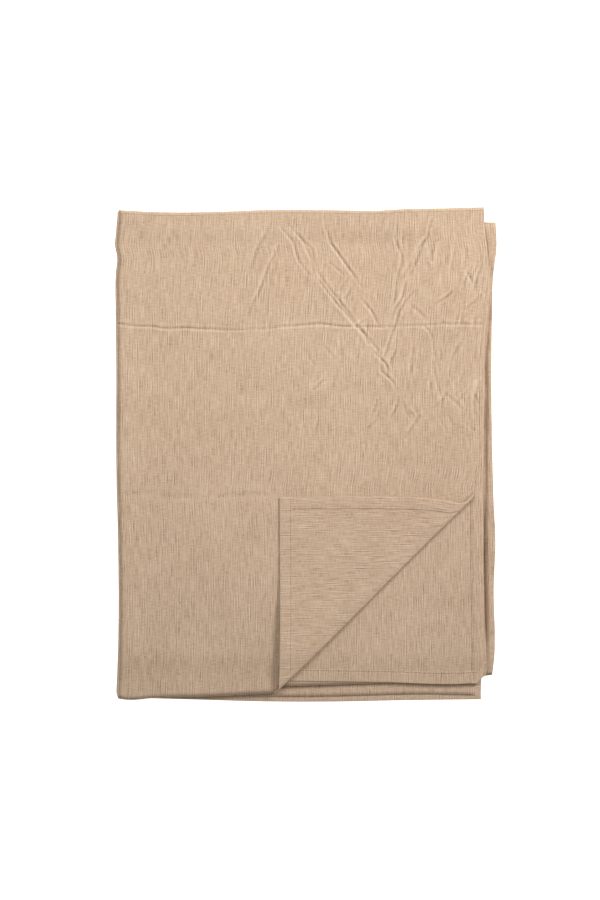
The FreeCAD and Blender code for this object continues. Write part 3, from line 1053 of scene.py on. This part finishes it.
def stretched_noise(tree, source, scale, detail, roughness=0.55):
    """Noise whose bumps are stretched by different scales along the two directions of the cloth."""
    mapping = add_node(tree, "ShaderNodeMapping")
    mapping.inputs["Scale"].default_value = (scale[0], scale[1], 1)
    texture = add_node(tree, "ShaderNodeTexNoise", noise_dimensions="2D")
    texture.inputs["Scale"].default_value = 1.0
    texture.inputs["Detail"].default_value = detail
    texture.inputs["Roughness"].default_value = roughness
    tree.links.new(source, mapping.inputs["Vector"])
    tree.links.new(mapping.outputs["Vector"], texture.inputs["Vector"])
    return texture.outputs["Fac"]


def do_math(tree, operation, first, second=None):
    node = add_node(tree, "ShaderNodeMath", operation=operation)
    for socket, value in zip(node.inputs, (first, second)):
        if value is None:
            continue
        if isinstance(value, (int, float)):
            socket.default_value = value
        else:
            tree.links.new(value, socket)
    return node.outputs[0]


def centred(tree, value, amount):
    """The value, which is about 0.5, moved to 0 and scaled."""
    return do_math(tree, "MULTIPLY", do_math(tree, "SUBTRACT", value, 0.5), amount)


# %% The linen's material
LINEN_DARK = (0.285, 0.192, 0.122, 1)
LINEN_MIDDLE = (0.535, 0.382, 0.262, 1)
LINEN_LIGHT = (0.70, 0.545, 0.41, 1)


def linen(name, crease_shade_and_wear):
    material = bpy.data.materials.new(name)
    material.use_nodes = True
    tree = material.node_tree
    shader = tree.nodes["Principled BSDF"]
    flat = add_node(tree, "ShaderNodeUVMap", uv_map="flat_cloth").outputs["UV"]

    split = add_node(tree, "ShaderNodeSeparateXYZ")
    tree.links.new(flat, split.inputs[0])
    wobble = centred(tree, stretched_noise(tree, flat, (160, 160), 2.0), 2.6)

    # Every fourth thread is a little thicker. Here and there that shows as fine upright lines.
    across = do_math(tree, "MULTIPLY", split.outputs[0], 1530)
    rib = do_math(tree, "SINE", do_math(tree, "ADD", across, wobble))
    patch = do_math(tree, "SUBTRACT", stretched_noise(tree, flat, (75, 34), 1.0), 0.42)
    ribs = do_math(tree, "MULTIPLY", rib, do_math(tree, "MAXIMUM", patch, 0.0))

    long_slubs = stretched_noise(tree, flat, (500, 24), 0.5)
    fine_slubs = stretched_noise(tree, flat, (860, 40), 1.0)
    cross_slubs = stretched_noise(tree, flat, (85, 600), 1.0)
    patches = stretched_noise(tree, flat, (11, 8), 2.0)
    clouds = stretched_noise(tree, flat, (60, 45), 2.0)
    tone = do_math(tree, "ADD", centred(tree, long_slubs, 0.28), centred(tree, fine_slubs, 0.75))
    tone = do_math(tree, "ADD", tone, centred(tree, cross_slubs, 0.45))
    tone = do_math(tree, "ADD", tone, do_math(tree, "MULTIPLY", ribs, 0.75))
    tone = do_math(tree, "ADD", tone, centred(tree, patches, 0.16))
    tone = do_math(tree, "ADD", tone, centred(tree, clouds, 0.07))
    tone = do_math(tree, "ADD", tone, 0.5)
    # The top layer's crease tone darkens the dips as painted shade, and lightens the shoulders partly as
    # wear and partly as painted highlight.
    if crease_shade_and_wear:
        shade_and_wear = add_node(tree, "ShaderNodeAttribute", attribute_name="crease_shade_and_wear").outputs["Fac"]
        tone = do_math(tree, "SUBTRACT", tone, do_math(tree, "MULTIPLY", shade_and_wear, 0.3))
    shades = add_node(tree, "ShaderNodeValToRGB")
    shades.color_ramp.elements[0].position = 0.0
    shades.color_ramp.elements[0].color = LINEN_DARK
    shades.color_ramp.elements[1].position = 1.0
    shades.color_ramp.elements[1].color = LINEN_LIGHT
    middle = shades.color_ramp.elements.new(0.5)
    middle.color = LINEN_MIDDLE
    tree.links.new(tone, shades.inputs["Fac"])

    # Small dark knots of fibre, about one to each hand's breadth of cloth.
    spots = add_node(tree, "ShaderNodeMapping")
    spots.inputs["Scale"].default_value = (52, 24, 1)
    cells = add_node(tree, "ShaderNodeTexVoronoi", voronoi_dimensions="2D")
    cells.inputs["Scale"].default_value = 1.0
    tree.links.new(flat, spots.inputs["Vector"])
    tree.links.new(spots.outputs["Vector"], cells.inputs["Vector"])
    picker = add_node(tree, "ShaderNodeSeparateColor")
    tree.links.new(cells.outputs["Color"], picker.inputs[0])
    chosen = do_math(tree, "GREATER_THAN", picker.outputs[0], 0.86)
    size = do_math(tree, "MULTIPLY", picker.outputs[1], 0.05)
    near = do_math(tree, "LESS_THAN", cells.outputs["Distance"], size)
    knots = do_math(tree, "MULTIPLY", chosen, near)
    speckled = add_node(tree, "ShaderNodeMix", data_type="RGBA")
    speckled.inputs[7].default_value = (0.2, 0.13, 0.085, 1)
    tree.links.new(do_math(tree, "MULTIPLY", knots, 0.6), speckled.inputs[0])
    tree.links.new(shades.outputs["Color"], speckled.inputs[6])
    tree.links.new(speckled.outputs[2], shader.inputs["Base Color"])

    # The weave itself: threads pass over and under each other every millimetre.
    warp = do_math(tree, "MULTIPLY", split.outputs[0], 3142)
    weft = do_math(tree, "MULTIPLY", split.outputs[1], 2950)
    over = do_math(tree, "SINE", do_math(tree, "ADD", warp, wobble))
    under = do_math(tree, "SINE", do_math(tree, "ADD", weft, wobble))
    weave = do_math(tree, "MULTIPLY", do_math(tree, "MULTIPLY", over, under), 0.09)
    yarn = do_math(tree, "ADD", centred(tree, long_slubs, 1.0), centred(tree, cross_slubs, 0.8))
    surface = do_math(tree, "ADD", weave, do_math(tree, "MULTIPLY", yarn, 0.55))
    bump = add_node(tree, "ShaderNodeBump")
    bump.inputs["Strength"].default_value = 0.75
    bump.inputs["Distance"].default_value = 0.6 * MM
    tree.links.new(surface, bump.inputs["Height"])
    tree.links.new(bump.outputs["Normal"], shader.inputs["Normal"])

    shader.inputs["Roughness"].default_value = 0.92
    shader.inputs["Specular IOR Level"].default_value = 0.22
    shader.inputs["Sheen Weight"].default_value = 0.12
    shader.inputs["Sheen Roughness"].default_value = 0.55
    shader.inputs["Sheen Tint"].default_value = (1.0, 0.94, 0.86, 1)
    return material


# The second material carries the top layer's painted crease shade and highlight.
linen_plain = linen("washed_linen", crease_shade_and_wear=False)
linen_crease_shaded = linen("washed_linen_crease_shade", crease_shade_and_wear=True)

# %% [markdown]
# The thread is spun cotton, a shade darker than the cloth, with a twist that shows as fine bands. It reads
# Object coordinates, because the stitches have no flat place of their own.

# %% The thread's material
def sewing_thread():
    material = bpy.data.materials.new("sewing_thread")
    material.use_nodes = True
    tree = material.node_tree
    shader = tree.nodes["Principled BSDF"]
    place = add_node(tree, "ShaderNodeTexCoord").outputs["Object"]
    twist = add_node(tree, "ShaderNodeTexWave", in_Scale=900.0, in_Distortion=2.0, in_Detail=2.0)
    twist.bands_direction = "DIAGONAL"
    tree.links.new(place, twist.inputs["Vector"])
    shades = add_node(tree, "ShaderNodeValToRGB")
    shades.color_ramp.elements[0].color = (0.22, 0.145, 0.09, 1)
    shades.color_ramp.elements[1].color = (0.36, 0.25, 0.165, 1)
    tree.links.new(twist.outputs["Fac"], shades.inputs["Fac"])
    tree.links.new(shades.outputs["Color"], shader.inputs["Base Color"])
    shader.inputs["Roughness"].default_value = 0.75
    shader.inputs["Sheen Weight"].default_value = 0.1
    return material


thread = sewing_thread()

# %% Give every piece its finish
cloth_pieces = [back_cloth, inner_cloth, left_fold, roll_cloth, flap_cloth, corner_hem_end, corner_hem_side]
cloth_pieces += [strip for strip, _ in top_strips] + [hem for hem, *_ in hems]
for piece in cloth_pieces:
    piece.data.materials.append(linen_plain)
top_cloth.data.materials.append(linen_crease_shaded)
for piece in stitches.values():
    piece.data.materials.append(thread)

# %% [markdown]
# ## Joining the pieces to the frame
# Most pieces ride on the body that moves them, and the plain solids they stand for are hidden. The strips
# round the top folds and the roll are on neither body.

# %% Bodies, and hiding the plain solids that each piece stands in for
BODY = {"front": "front_half", "back": "back_half", "corner": "turned_corner"}

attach(back_cloth, "back_half")
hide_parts("back_panel_1", "back_panel_2", "back_panel_3", "back_panel_4",
            "back_left_fold_outer", "back_left_fold_inner", "back_right_fold")
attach(inner_cloth, "front_half")
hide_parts("front_panel_2", "front_panel_3", "front_panel_4",
            "front_left_fold_inner", "front_right_fold")
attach(top_cloth, "front_half")
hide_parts("front_panel_1")
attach(left_fold, "front_half")
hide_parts("front_left_fold_outer")
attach(flap_cloth, "turned_corner")
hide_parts("corner_flap")

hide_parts("corner_fold")
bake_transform(roll_cloth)

for strip, name in top_strips:
    if name in SEQUENCE:
        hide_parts("top_fold_%d" % SEQUENCE[name])
    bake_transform(strip)

for hem, half, edge, quarter in hems:
    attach(hem, BODY[half])
    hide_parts("%s_%s_hem_%d" % (half, edge, quarter))
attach(corner_hem_end, "turned_corner")
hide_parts("corner_end_hem")
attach(corner_hem_side, "turned_corner")
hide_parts("corner_side_hem")
for half, piece in stitches.items():
    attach(piece, BODY[half])
    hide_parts("%s_hem_thread" % half)
